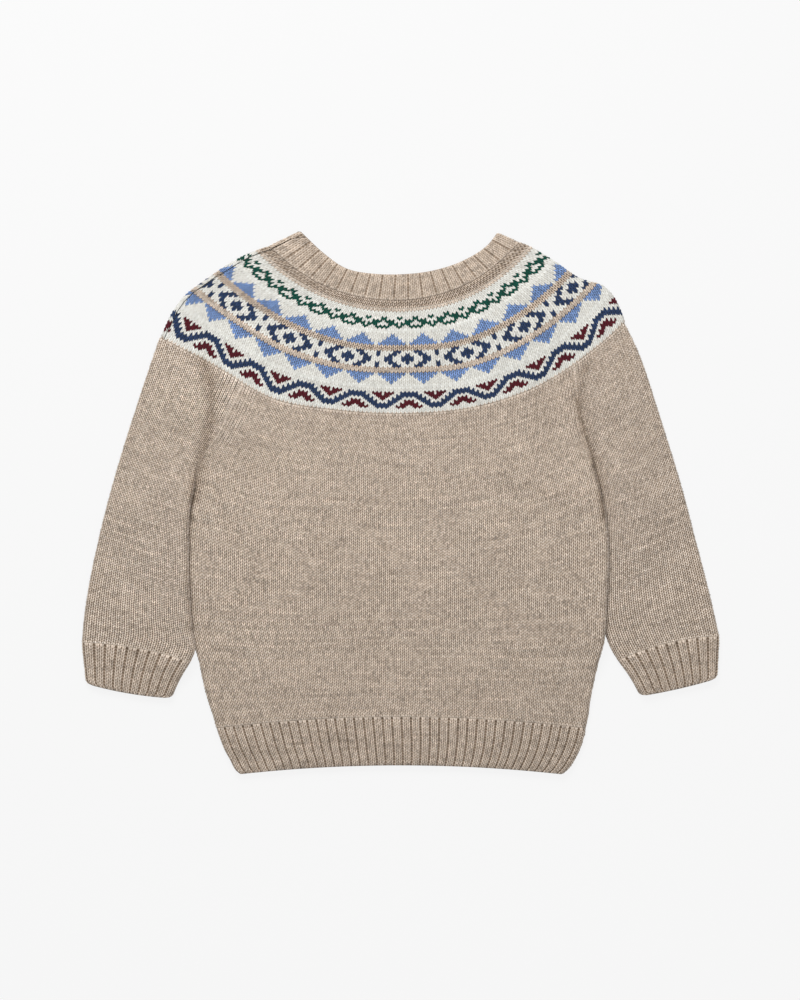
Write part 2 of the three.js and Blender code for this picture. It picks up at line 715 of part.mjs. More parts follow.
const jumper = new THREE.Group();
jumper.name = 'fair_isle_jumper';
jumper.add(bodyPanel('front', 'upper', oatmeal));
jumper.add(bodyPanel('back', 'lower', oatmeal));
jumper.add(sleeve('sleeve_left', sleeveLeft, 'left', leftOver, oatmeal));
jumper.add(sleeve('sleeve_right', sleeveRight, 'right', null, oatmeal));
jumper.add(yokePiece(cream));
jumper.add(neckbandPiece(ribOatmeal));
jumper.add(hemPiece('hem_front', 'upper', ribOatmeal));
jumper.add(hemPiece('hem_back', 'lower', ribOatmeal));
jumper.add(cuffPiece('cuff_left', sleeveLeft, cuffLeft, leftOver, ribOatmeal));
jumper.add(cuffPiece('cuff_right', sleeveRight, cuffRight, null, ribOatmeal));

export default jumper;
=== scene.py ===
# Fair isle jumper laid flat, front up, seen from straight above
import math

import bpy
import numpy as np
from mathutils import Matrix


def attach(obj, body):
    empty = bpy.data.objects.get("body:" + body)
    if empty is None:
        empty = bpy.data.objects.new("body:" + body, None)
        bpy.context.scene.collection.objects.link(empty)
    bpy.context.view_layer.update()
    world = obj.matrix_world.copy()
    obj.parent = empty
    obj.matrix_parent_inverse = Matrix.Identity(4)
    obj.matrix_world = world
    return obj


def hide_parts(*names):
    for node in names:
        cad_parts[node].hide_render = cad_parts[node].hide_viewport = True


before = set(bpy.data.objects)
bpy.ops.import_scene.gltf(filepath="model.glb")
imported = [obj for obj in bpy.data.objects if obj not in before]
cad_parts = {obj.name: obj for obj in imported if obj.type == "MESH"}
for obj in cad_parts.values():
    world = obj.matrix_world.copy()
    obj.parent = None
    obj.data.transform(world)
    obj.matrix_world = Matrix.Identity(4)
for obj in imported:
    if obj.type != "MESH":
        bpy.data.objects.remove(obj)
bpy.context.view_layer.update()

# Sizes below are in millimetres until a mesh is made
MM = 0.001

# Cloth
WALL = 2.1
AIR = 0.9
STACK = 2 * WALL + AIR
FOLD_REACH = 2.6
RAGLAN_GAP = -0.35
SEAM_GAP = 0.0
YOKE_GAP = 0.0
CUFF_GAP = 0.0
BAND_GAP = 0.0
OPENING_GAP = 0.5
BAND_DEPTH = 18.5
SIDE_GAP = 0.35
RIB_RISE = 0.44
UNDER_RIB = 0.5
CUFF_PINCH = 1.2
CUFF_CORNER = 4.0
CUFF_LENGTH = 29.0
QUARTER = 0.5 * math.pi * FOLD_REACH

# Knit
STITCH_WIDE = 2.88
COURSE = 1.92
LEAN = 0.78           # how far a stitch's legs rise, in courses
LEG_HEIGHT = 0.78
GAP_LEVEL = 0.42      # height left between two courses on a leg, as a share of its height
HAIR = 0.0012         # half the space left between two blocks of rounds, as a share of the yoke's depth
JOIN_LEVEL = 0.42     # height of the line where one block of stitches meets the next
LEG_SHADE = 0.66         # how much darker the painted shade makes the cloth down between the legs
HOLE_SHADE = 0.6        # the same painted shade for the small hole inside and below each stitch
# painted shade on the edge rows and columns where blocks join, and its mean level
JOIN_SHADE = 0.5
MEAN_SHADE = 0.5
# painted shade level down in a rib's valleys
VALLEY_SHADE = 0.82
# how much stronger the painted shade of the sleeves' stitches is
SLEEVE_SHADE_CONTRAST = 1.3
LEG_TONE = 0.15       # how much one leg differs from the next in tone
YARN_TONE = 0.06      # how much one stretch of yarn differs from the next
RIB_JOIN = 4.0        # run over which a rib fades into plain knit
VALLEY_EDGE = 0.4      # height at a valley's edges, as a share of its wale's
EDGE_ROUND = 0.8      # how much a welt thins at its free edge
EDGE_RUN = 2.2

# Ribs: share of the width that the valley takes, and the height of each wale
WELT_RIB = (0.17, (1.0, 1.0))
NECK_RIB = (0.1, (1.0, 0.72, 0.72))
HEM_RIBS = 40
CUFF_RIBS = 21
NECK_RIBS_PER_REPEAT = 2.5
NECK_RISE = 0.36
WELT_VALLEY_SHADE = -0.1      # how much darker a valley's painted shade is
NECK_VALLEY_SHADE = 0.05
WELT_SHADE_STRENGTH = 1.0      # strength of the stitches' painted shade
NECK_SHADE_STRENGTH = 0.6

# Body side edges, x at height y
ARMPIT = {"left": 26, "right": 32}
ARMPIT_RUN = 16


def table(names, *rows):
    """Short table as one array a column."""
    return {name: np.array([row[i] for row in rows], float) for i, name in enumerate(names)}


BODY_EDGE = table(
    ("y", "left", "right"),
    (-164, -132, 132.7),
    (-153, -135, 135),
    (-142, -138.6, 136.5),
    (-128, -142.2, 139.3),
    (-113, -145.3, 142.6),
    (-100, -149.5, 146),
    (-84, -153.5, 147),
    (-60, -155.3, 148.2),
    (-35, -155.5, 149),
    (-10, -152.8, 147.2),
    (10, -148.6, 143.2),
    (28, -144.6, 138.4),
    (48, -131.6, 131.6),
    (70, -120.2, 127.8),
    (84, -114, 125.8),
    (99, -107.5, 124),
)

# Hem rib
HEM = {"top": -153.8, "top_sag": 8, "free": -188.8, "free_sag": 6, "half": 130, "free_half": 112}
HEM_EDGE = table(
    ("y", "left", "right"),
    (-195, -116, 116.5),
    (-191, -119.5, 120.8),
    (-185, -122.5, 124.8),
    (-178, -126.4, 128.4),
    (-170, -129.6, 131.2),
    (-161, -132.8, 133.4),
)

# Sleeves and cuffs
SLEEVES = {
    "left": {
        "outer": [(-173.5, 118.5), (-188.5, 74), (-206.5, 16), (-220.8, -41.5), (-227.6, -81), (-229.3, -100.5)],
        "inner": [(-113.1, 85.4), (-120.2, 70), (-131.6, 48), (-144.3, 28), (-146.8, 18), (-148.5, 8), (-151.2, -10),
                  (-151.9, -44), (-150.8, -67), (-149.2, -90), (-147, -105), (-150.5, -114.5)],
        "cuff_outer": (-226.2, -130.5),
        "cuff_inner": (-164.5, -141),
        "top_bow": 3,
        "free_bow": -1.4,
    },
    "right": {
        "outer": [(161, 129.5), (167.3, 117), (173, 104), (187.5, 59.5), (201, 16), (212.5, -27),
                  (223.5, -70), (229.3, -96)],
        "inner": [(124, 98.6), (125.8, 84), (128, 68), (131.6, 48), (138.1, 28), (140.3, 19), (142.7, 9), (144.8, -10),
                  (145, -32), (144.8, -52), (144, -74), (146, -91), (151, -105), (156, -113.5)],
        "cuff_outer": (227.8, -126.6),
        "cuff_inner": (172.2, -139.4),
        "top_bow": 4,
        "free_bow": -0.8,
    },
}
HEAD_SHARE = 0.3
FOOT_SHARE = 0.2

# Yoke rounds, one pattern repeat apart, counted from the pattern's axis
MIDDLE_ROUND = 0.49
FIRST_SPOKE = -4
SPOKES = {
    "outer": [(-178, 121), (-133.6, 98), (-91.4, 74.2), (-43.8, 65.9), (5, 63.7), (53.6, 68.4), (99.7, 83.9),
              (140.8, 111.2), (176, 144)],
    "middle": [(-146, 164.5), (-117.7, 141.5), (-79.6, 118.4), (-37.8, 105.5), (5, 103.3), (47.9, 107.6),
               (88.9, 126.4), (123.5, 154.4), (150, 188)],
    "inner": [(-93, 182.5), (-70.2, 164.2), (-46.8, 152.6), (-21.2, 146.4), (5, 145.4), (30.6, 150.3),
              (54.4, 160.6), (75.2, 176.8), (94, 196.5)],
    "neck": [(-71, 194), (-55, 179), (-38.5, 168), (-17.6, 164.2), (5, 164.2), (24.8, 167), (44.3, 173.5),
             (62.5, 185), (75, 203)],
}
SHOULDER = table(
    ("round", "seam", "left_fold", "right_fold"),
    (0, -3.87, -3.885, 3.58),
    (0.3, -3.52, -3.875, 3.44),
    (0.5, -3.42, -3.81, 3.21),
    (0.66, -3.5, -3.84, 3.2),
    (0.83, -3.66, -3.94, 3.31),
    (1, -3.84, -4.1, 3.54),
)

# Where the front end of the yoke and of the neckband show at the shoulder opening
YOKE_OPENING = table(
    ("round", "end"),
    (0, -3.83),
    (0.12, -3.79),
    (0.27, -3.81),
    (0.42, -3.74),
    (0.55, -3.7),
    (0.65, -3.7),
    (0.76, -3.76),
    (0.85, -3.83),
    (1, -3.95),
)
BAND_OPENING = table(("round", "end"), (0, -3.99), (0.4, -3.98), (0.6, -3.96), (0.78, -3.9), (1, -3.79))
FLAP_SINK = 0.5

# Margins that lie on their neighbour
OVER_LIFT = 5.9
OVER_REACH = 19
LEFT_OVER = {"full_from": -5, "gone": 24, "full_to": -106, "down": -136}
RIGHT_OVER = {"full_from": -6, "gone": 28, "full_to": -94, "down": -132}

# Soft creases of the upper layer: from, to, height, width
CREASES = [
    ((-136, 88), (-137, 52), -1.5, 7),
    ((-126, 78), (-130, 50), 0.9, 7),
    ((131, 72), (135.5, 44), -1.3, 6),
    ((138.5, 92), (141.5, 60), 0.8, 6),
    ((-152, 88), (-168, 34), 0.6, 12),
    ((156, 92), (172, 36), 0.6, 12),
    ((-112, 30), (-118, -90), 0.5, 20),
    ((110, 24), (114, -84), 0.5, 20),
    ((-196, -72), (-188, -98), 0.6, 12),
    ((190, -70), (184, -92), 0.6, 12),
    ((-60, -150), (-40, -110), 0.4, 18),
]
CREASE_FALL = 1.6

# Soft shade in the troughs: points along it, strength, width
SHADES = [
    ([(-143, 104), (-138, 91), (-134.8, 79), (-136, 63), (-139.6, 45), (-144, 30), (-148, 4)], 0.24, 5.5),
    ([(-148, 14), (-152, -14), (-152, -50), (-150, -90)], 0.1, 4),
    ([(134, 101), (129.5, 88), (128, 78)], 0.16, 5.5),
    ([(127.5, 73), (128.4, 66), (131.8, 50), (137, 36), (143, 12), (145.5, -10)], 0.28, 2.2),
    ([(130, 74), (131, 62), (138, 40), (145, 14), (146, -12)], 0.1, 6),
]
DEEPEST = 0.6

# Yoke charts, the top row first: N navy, B burgundy, L light blue, G green, T oatmeal, dot cream
WAVE = [
    "NN..BB.BB..NN",
    "NNN..BBB..NNN",
    "..NN..B..NN..",
    "B..NN...NN..B",
    "BB..NNNNN..BB",
    ".BB..NNN..BB.",
]
DIAMONDS = [
    "N...NN...NN...",
    "N..NN..N..NN..",
    "..NN..NNN..NN.",
    "..NN..NNN..NN.",
    "N..NN..N..NN..",
    "N...NN...NN...",
]
PEAKS = ["...L....", "..LLL...", ".LLLLL..", "LLLLLLL."]
SPRIGS = ["G...G...", "..GG.GG.", ".GG...GG", "G..GGG.."]
CREAM_ROUND = ["."]
OATMEAL_ROUND = ["T"]

# Groups of rounds from the body up: stitches in one repeat, chart column on the axis, whether a stitch
# is centred on the axis, how open the oatmeal rounds are, drawn as painted shade in their holes, the dark
# yarns that bulge over the pale stitch beside them, and the rounds
ROUND_GROUPS = [
    (16.3, 0, False, 0, "NB", CREAM_ROUND * 2 + WAVE + CREAM_ROUND * 2),
    (16.05, 7, True, 0.35, "", OATMEAL_ROUND + PEAKS[::-1] + CREAM_ROUND),
    (14, 7, True, 0.35, "", CREAM_ROUND + PEAKS + OATMEAL_ROUND * 2 + DIAMONDS + OATMEAL_ROUND),
    (11.6, 2, True, 0.1, "G", OATMEAL_ROUND + CREAM_ROUND * 2 + SPRIGS + CREAM_ROUND),
    (10.2, 0, False, 0.7, "", OATMEAL_ROUND * 3),
]

# The waves stand a little to the right of the axis and close up towards the neck
WAVE_SHIFT = 0.38
WAVE_FAN = 0.0046

# Yarn colours as seen, with the strength of the heather in them, which also sets how deep their painted shade goes
YARNS = {
    ".": ((219, 220, 216), 0.46),
    "T": ((220, 207, 194), 1.0),
    "N": ((41, 62, 100), 0.85),
    "B": ((86, 14, 30), 0.8),
    "L": ((126, 159, 216), 0.95),
    "G": ((0, 74, 62), 0.75),
}


# Small maths
def clamp01(t):
    return np.clip(t, 0.0, 1.0)


def mix(a, b, t):
    return a + (b - a) * t


def ease(t):
    t = clamp01(t)
    return t * t * (3 - 2 * t)


def to_linear(value):
    value = value / 255
    return value / 12.92 if value <= 0.04045 else ((value + 0.055) / 1.055) ** 2.4


def yarn(letter):
    colour, heather = YARNS[letter]
    return np.array([to_linear(c) for c in colour] + [heather])


def read_table(rows, key, column, at):
    """Smooth reading of one column of a table sorted by key."""
    keys = rows[key]
    values = rows[column]
    before = np.r_[0, np.arange(len(keys) - 1)]
    after = np.r_[np.arange(1, len(keys)), len(keys) - 1]
    slopes = (values[after] - values[before]) / (keys[after] - keys[before])
    i = np.clip(np.searchsorted(keys, at) - 1, 0, len(keys) - 2)
    span = keys[i + 1] - keys[i]
    t = (at - keys[i]) / span
    t2 = t * t
    t3 = t2 * t
    base = values[i] * (2 * t3 - 3 * t2 + 1) + values[i + 1] * (3 * t2 - 2 * t3)
    return base + span * (slopes[i] * (t3 - 2 * t2 + t) + slopes[i + 1] * (t3 - t2))


def extended(points):
    """Points with one more at each end, straight on."""
    points = np.array(points, float)
    return np.vstack([2 * points[0] - points[1], points, 2 * points[-1] - points[-2]])


def hermite(p1, p2, m1, m2, t):
    t2 = t * t
    t3 = t2 * t
    return p1 * (2 * t3 - 3 * t2 + 1) + p2 * (3 * t2 - 2 * t3) + m1 * (t3 - 2 * t2 + t) + m2 * (t3 - t2)


def round_curve(points):
    """Curve through evenly counted points, read by repeat, straight on past its ends."""
    around = extended(points)
    last = len(points) - 1

    def read(repeat):
        at = np.asarray(repeat, float) - FIRST_SPOKE
        inside = np.clip(at, 0, last)
        i = np.clip(np.floor(inside).astype(int), 0, last - 1)
        t = (inside - i)[..., None]
        p0, p1, p2, p3 = (around[i + k] for k in range(4))
        point = hermite(p1, p2, (p2 - p0) / 2, (p3 - p1) / 2, t)
        past = np.where((at < 0)[..., None], around[1] - around[0], around[-1] - around[-2])
        return point + past * (at - inside)[..., None]

    return read


def length_curve(points, samples=60):
    """Curve through points, read by its share of length."""
    around = extended(points)
    steps = np.maximum(np.linalg.norm(np.diff(around, axis=0), axis=1) ** 0.5, 1e-6)
    t = np.linspace(0, 1, samples, endpoint=False)[:, None]
    pieces = []
    for i in range(1, len(around) - 2):
        p0, p1, p2, p3 = around[i - 1:i + 3]
        d0, d1, d2 = steps[i - 1:i + 2]
        m1 = ((p1 - p0) / d0 - (p2 - p0) / (d0 + d1) + (p2 - p1) / d1) * d1
        m2 = ((p2 - p1) / d1 - (p3 - p1) / (d1 + d2) + (p3 - p2) / d2) * d1
        pieces.append(hermite(p1, p2, m1, m2, t))
    line = np.vstack(pieces + [around[-2][None, :]])
    length = np.r_[0, np.cumsum(np.linalg.norm(np.diff(line, axis=0), axis=1))]
    length /= length[-1]

    def read(share):
        share = clamp01(share)
        return np.stack([np.interp(share, length, line[:, 0]), np.interp(share, length, line[:, 1])], axis=-1)

    return read


# Upper layer
def to_segment(x, y, ax, ay, bx, by):
    """Distance of each place from a straight run."""
    dx = bx - ax
    dy = by - ay
    near = clamp01(((x - ax) * dx + (y - ay) * dy) / (dx * dx + dy * dy))
    return np.hypot(x - ax - dx * near, y - ay - dy * near)


def crease_height(x, y):
    total = np.zeros_like(x)
    for start, end, height, width in CREASES:
        away = to_segment(x, y, *start, *end) / width
        total += height * np.exp(-away * away * CREASE_FALL)
    return total


def crease_shade(x, y):
    """Extra depth of tone down in the troughs, where less light comes."""
    total = np.zeros_like(x)
    for points, strength, width in SHADES:
        nearest = np.full_like(x, 1e3)
        for (ax, ay), (bx, by) in zip(points, points[1:]):
            nearest = np.minimum(nearest, to_segment(x, y, ax, ay, bx, by))
        total += strength * np.exp(-(nearest / width) ** 2 * CREASE_FALL)
    return total


def crown_height(x, y):
    body = ease((132 - np.abs(x)) / 46) * ease((y + 188) / 26) * ease((178 - y) / 60)
    axis = mix(168, 190, clamp01((90 - y) / 180))
    sleeve = ease(1 - np.abs(np.abs(x) - axis) / 34) * ease((y + 128) / 28) * ease((112 - y) / 40)
    return 1.1 * body + 0.9 * sleeve


def upper_top(x, y):
    return STACK + np.maximum(-DEEPEST, crown_height(x, y) + crease_height(x, y))


def margin_lift(limits, y, inset):
    share = ease((limits["gone"] - y) / (limits["gone"] - limits["full_from"]))
    share = share * ease((y - limits["down"]) / (limits["full_to"] - limits["down"]))
    return OVER_LIFT * share * ease(1 - inset / OVER_REACH)


outer_round = round_curve(SPOKES["outer"])
middle_round = round_curve(SPOKES["middle"])
inner_round = round_curve(SPOKES["inner"])
neck_round = round_curve(SPOKES["neck"])


def repeat_at(x):
    """The repeat at which the yoke's lower edge has this x."""
    repeats = np.linspace(FIRST_SPOKE, -FIRST_SPOKE, 400)
    return np.interp(x, outer_round(repeats)[:, 0], repeats)


def yoke_edge_y(x):
    return outer_round(repeat_at(x))[..., 1] - YOKE_GAP


def hem_top_y(x):
    return HEM["top"] - HEM["top_sag"] * (x / HEM["half"]) ** 2


def hem_free_y(x):
    return HEM["free"] - HEM["free_sag"] * (x / HEM["free_half"]) ** 2


def side_x(y, side):
    above = ease((y - ARMPIT[side]) / ARMPIT_RUN + 1)
    return read_table(BODY_EDGE, "y", side, y) + (1 if side == "left" else -1) * RAGLAN_GAP * above


def closed_at(y, side):
    return 1 - ease((y - ARMPIT[side]) / ARMPIT_RUN + 0.5)


def edge_fold(share, depth, top, closed, upper):
    """A side edge from its seam (0) to the flat (1): inset from the edge, and height."""
    angle = share * math.pi / 2
    round_inset = depth + (FOLD_REACH - depth) * (1 - np.cos(angle))
    flat = top - depth if upper else depth + 0 * top
    seam = top / 2 + (SIDE_GAP / 2 if upper else -SIDE_GAP / 2)
    z_round = mix(seam, flat, np.sin(angle))
    return mix(FOLD_REACH * share, round_inset, closed), mix(flat, z_round, closed)


# Surfaces: each takes a place across and along a piece and a depth under its outer face
def settle(low_y, high_y, left_x, right_x, u, v):
    x = np.zeros_like(u)
    y = np.zeros_like(u)
    for _ in range(7):
        y = mix(low_y(x), high_y(x), v)
        x = mix(left_x(y) + FOLD_REACH, right_x(y) - FOLD_REACH, u)
    return x, y


def panel_surface(upper, kind):
    """Body panel or hem: across runs from the left seam (0) to the right one (1)."""
    fold = QUARTER / 300
    if kind == "body":
        bottom, top_line = (lambda x: hem_top_y(x) + SEAM_GAP / 2), yoke_edge_y
        left, right = (lambda y: side_x(y, "left")), (lambda y: side_x(y, "right"))
    else:
        bottom, top_line = hem_free_y, (lambda x: hem_top_y(x) - SEAM_GAP / 2)
        left = lambda y: read_table(HEM_EDGE, "y", "left", y)
        right = lambda y: read_table(HEM_EDGE, "y", "right", y)

    def surface(a, v, depth):
        u = clamp01((a - fold) / (1 - 2 * fold))
        x, y = settle(bottom, top_line, left, right, u, v)
        top = upper_top(x, y)
        on_left = a < 0.5
        share = clamp01(np.where(on_left, a, 1 - a) / fold)
        closed = np.ones_like(y)
        if kind == "body":
            closed = np.where(on_left, closed_at(y, "left"), closed_at(y, "right"))
        inset, z = edge_fold(share, depth, top, closed, upper)
        margin = share < 1
        for _ in range(3):
            y = np.where(margin, mix(bottom(x), top_line(x), v), y)
            x = np.where(margin, np.where(on_left, left(y) + inset, right(y) - inset), x)
        if kind == "body":
            z = z + margin_lift(RIGHT_OVER, y, right(y) - x)
        return np.stack([x, y, z], axis=-1)

    under = (lambda a, v: np.zeros_like(a)) if upper else (lambda a, v: np.ones_like(a))
    return surface, under


def tube_surface(section, mean_width):
    """Folded piece: across runs from the inner edge over the top, round the outer fold and back under."""
    flat = mean_width - 2 * FOLD_REACH
    whole = 2 * flat + 4 * QUARTER

    def regions(a):
        s = a * whole
        return s, s < QUARTER, (s >= QUARTER + flat) & (s < 3 * QUARTER + flat), s >= 3 * QUARTER + flat

    def surface(a, v, depth):
        s, inner_upper, outer_fold, below = regions(a)
        outer, inner, bow, closed, lift = section(v)
        across = outer - inner
        width = np.linalg.norm(across, axis=-1)
        across = across / width[..., None]
        span = width - 2 * FOLD_REACH
        upper_share = clamp01((s - QUARTER) / flat)
        lower_share = clamp01((2 * flat + 3 * QUARTER - s) / flat)
        centre = FOLD_REACH + span * np.where(below, lower_share, upper_share)
        angle = np.where(below, math.pi, clamp01((s - QUARTER - flat) / (2 * QUARTER)) * math.pi)
        inner_lower = s > 2 * flat + 3 * QUARTER

        def plan(inset):
            share = inset / width
            point = inner + across * inset[..., None] + bow(share)
            return point[..., 0], point[..., 1]

        x, y = plan(centre)
        top = upper_top(x, y)
        z = top / 2 + (top / 2 - depth) * np.cos(angle)
        inset = centre + np.where(outer_fold, (FOLD_REACH - depth) * np.sin(angle), 0)
        share_upper = clamp01(s / QUARTER)
        inset_upper, z_upper = edge_fold(share_upper, depth, top, closed, True)
        share_lower = clamp01((whole - s) / QUARTER)
        inset_lower, z_lower = edge_fold(share_lower, depth, top, closed, False)
        inset = np.where(inner_upper, inset_upper, np.where(inner_lower, inset_lower, inset))
        z = np.where(inner_upper, z_upper, np.where(inner_lower, z_lower, z))
        x, y = plan(inset)
        return np.stack([x, y, z + lift(inset, y)], axis=-1)

    def under(a, v):
        s = regions(a)[0]
        return ease((s - QUARTER - flat) / (2 * QUARTER))

    return surface, under


def even_bow(outer, inner, height):
    across = outer - inner
    across = across / np.linalg.norm(across, axis=-1)[..., None]
    up = np.stack([-across[..., 1], across[..., 0]], axis=-1) * np.sign(across[..., :1]) * 4

    def bow(share):
        return up * (height * share * (1 - share))[..., None]

    return bow


def sleeve_section(side):
    shape = SLEEVES[side]
    outer_curve = length_curve(shape["outer"])
    inner_curve = length_curve(shape["inner"])
    start = np.array(shape["inner"][0], float)
    end = np.array(shape["outer"][0], float)
    from_repeat = repeat_at(start[0])
    to_repeat = repeat_at(end[0])
    limits = LEFT_OVER if side == "left" else None

    def section(v):
        outer = outer_curve(v)
        inner = inner_curve(v)
        drop = YOKE_GAP * 1.3 * ease(1 - v * 15)
        outer[..., 1] -= drop
        inner[..., 1] -= drop
        cuff_bow = even_bow(outer, inner, shape["top_bow"] * ease((v - 1) / FOOT_SHARE + 1))
        fade = ease(1 - v / HEAD_SHARE)[..., None]

        def bow(share):
            edge = outer_round(mix(from_repeat, to_repeat, share))
            chord = start + (end - start) * share[..., None]
            return (edge - chord) * fade + cuff_bow(share)

        def lift(inset, y):
            return margin_lift(limits, y, inset) if limits else 0

        return outer, inner, bow, closed_at(inner[..., 1], side), lift

    return section


def cuff_section(side):
    shape = SLEEVES[side]
    limits = LEFT_OVER if side == "left" else None
    top_outer, top_inner = (np.array(shape[edge][-1], float) for edge in ("outer", "inner"))
    free_outer, free_inner = (np.array(shape[edge], float) for edge in ("cuff_outer", "cuff_inner"))

    def section(v):
        # v runs from the free edge up to the sleeve
        share = (1 - v)[..., None]
        outer = mix(top_outer - (0, CUFF_GAP), free_outer, share)
        inner = mix(top_inner - (0, CUFF_GAP), free_inner, share)
        inner[..., 0] += np.sign(top_inner[0]) * CUFF_PINCH * np.sin(share[..., 0] * math.pi)
        to_edge = 1 - clamp01(v * CUFF_LENGTH / CUFF_CORNER)
        pull = CUFF_CORNER * (1 - np.sqrt(1 - to_edge ** 2))[..., None] * 0.9
        across = (outer - inner) / np.linalg.norm(outer - inner, axis=-1)[..., None]
        outer = outer - across * pull
        inner = inner + across * pull
        bow = even_bow(outer, inner, mix(shape["top_bow"], shape["free_bow"], share[..., 0]))

        def lift(inset, y):
            return margin_lift(limits, y, inset) if limits else 0

        return outer, inner, bow, np.ones_like(v), lift

    return section


def yoke_curve(repeat, round_share):
    t = round_share
    m = MIDDLE_ROUND
    a = ((t - m) * (t - 1) / m)[..., None]
    b = (t * (t - 1) / (m * (m - 1)))[..., None]
    c = (t * (t - m) / (1 - m))[..., None]
    return outer_round(repeat) * a + middle_round(repeat) * b + inner_round(repeat) * c


def band_curve(repeat, share):
    return mix(inner_round(repeat), neck_round(repeat), mix(BAND_GAP / BAND_DEPTH, 1, share)[..., None])


def strip_surface(curve, ends_at, opening):
    """Folded strip: across is counted in repeats from the axis, on over both folds to the opening."""

    def limits(v):
        right, left = (read_table(SHOULDER, "round", c, ends_at(v)) for c in ("right_fold", "left_fold"))
        seam = read_table(opening, "round", "end", v)

        def speed(at):
            return np.linalg.norm(curve(at + 0.02, v) - curve(at - 0.02, v), axis=-1) / 0.04

        right = right - FOLD_REACH / speed(right)
        left = left + FOLD_REACH / speed(left)
        seam = np.maximum(seam, left + 2 * OPENING_GAP / speed(left))
        right_turn = 2 * QUARTER / speed(right)
        left_turn = 2 * QUARTER / speed(left)
        end = seam - OPENING_GAP / speed(seam)
        finish = 2 * right - left + right_turn + left_turn + (end - left)
        return right, left, seam, right_turn, left_turn, finish

    def parts(k, v):
        right, left, seam, right_turn, left_turn, finish = limits(v)
        k = np.clip(k, seam, finish)
        right_angle = clamp01((k - right) / right_turn)
        left_start = right + right_turn + (right - left)
        left_angle = clamp01((k - left_start) / left_turn)
        on_back = right - (k - right - right_turn)
        on_flap = left + (k - left_start - left_turn)
        plain = np.where(k <= right, k, np.clip(on_back, left, right))
        at = np.where(k > left_start + left_turn, on_flap, plain)
        return at, right_angle, left_angle

    def surface(k, v, depth):
        at, right_angle, left_angle = parts(k, v)
        point = curve(at, v)
        tangent = curve(at + 0.02, v) - curve(at - 0.02, v)
        tangent /= np.linalg.norm(tangent, axis=-1)[..., None]
        angle = math.pi * (right_angle - left_angle)
        turning = ((right_angle > 0) & (right_angle < 1)) | ((left_angle > 0) & (left_angle < 1))
        sign = np.where(left_angle > 0, -1.0, 1.0)
        reach = np.where(turning, (FOLD_REACH - depth) * np.sin(angle) * sign, 0)
        top = upper_top(point[..., 0], point[..., 1])
        top = top - FLAP_SINK * left_angle
        point = point + tangent * reach[..., None]
        z = top / 2 + (top / 2 - depth) * np.cos(angle)
        return np.stack([point[..., 0], point[..., 1], z], axis=-1)

    def under(k, v):
        _, right_angle, left_angle = parts(k, v)
        return ease(right_angle - left_angle)

    return surface, under, limits


# Knit columns and rows
def plain_columns(first, last, offset=0.0):
    """Four mesh columns a stitch: place in stitches, rise of the legs, crest and stitch number."""
    step = np.arange((last - first) * 4 + 1)
    phase = step % 4
    place = first + step / 4 + offset
    lean = np.abs(phase - 2) / 2 * LEAN
    crest = np.where(phase % 2 == 1, 1.0, np.where(phase == 2, 0.16, 0.0))
    return {"place": place, "lean": lean, "crest": crest, "body": np.ones_like(place)}


def rib_columns(first, last, valley, wales):
    """A rib is a narrow valley and its wales, each with its own height; place is counted in ribs."""
    wide = (1 - valley) / len(wales)
    edge_in = wales[-1] * VALLEY_EDGE
    edge_out = wales[0] * VALLEY_EDGE
    one = [(0.0, 1, 0.0, edge_in), (valley / 2, 1, 0.0, 0.0), (valley, 1, 0.0, edge_out)]
    for i, height in enumerate(wales):
        start = valley + wide * i
        one += [
            (start + wide * 0.25, 0.5, 1.0, height * 0.95),
            (start + wide * 0.5, 0.0, 0.16, height),
            (start + wide * 0.75, 0.5, 1.0, height * 0.95),
        ]
        if i + 1 < len(wales):
            one.append((start + wide, 1, 0.0, min(height, wales[i + 1]) * 0.86))
    rows = [(i + place, lean, crest, body) for i in range(first, last) for place, lean, crest, body in one]
    rows.append((last, 1, 0.0, edge_in))
    place, lean, crest, body = (np.array(column, float) for column in zip(*rows))
    return {"place": place, "lean": lean * LEAN, "crest": crest, "body": body}


def heathered(colours, rows, cols, rng):
    """Colours with each stitch leg, and each stretch of yarn, a little lighter or darker."""
    colours = np.broadcast_to(colours, (rows, cols, 4)).copy()
    legs = rng.standard_normal((rows // 2 + 1, cols // 2 + 1))
    legs = np.repeat(np.repeat(legs, 2, axis=0), 2, axis=1)[:rows, :cols]
    knots = rng.standard_normal((rows // 2 + 1, cols // 28 + 2))
    along = np.linspace(0, knots.shape[1] - 1, cols)
    stretch = np.array([np.interp(along, np.arange(knots.shape[1]), line) for line in knots])
    stretch = np.repeat(stretch, 2, axis=0)[:rows]
    level = 1 + colours[..., 3] * (LEG_TONE * np.clip(legs, -2, 0.9) + YARN_TONE * stretch)
    colours[..., :3] *= level[..., None]
    return colours


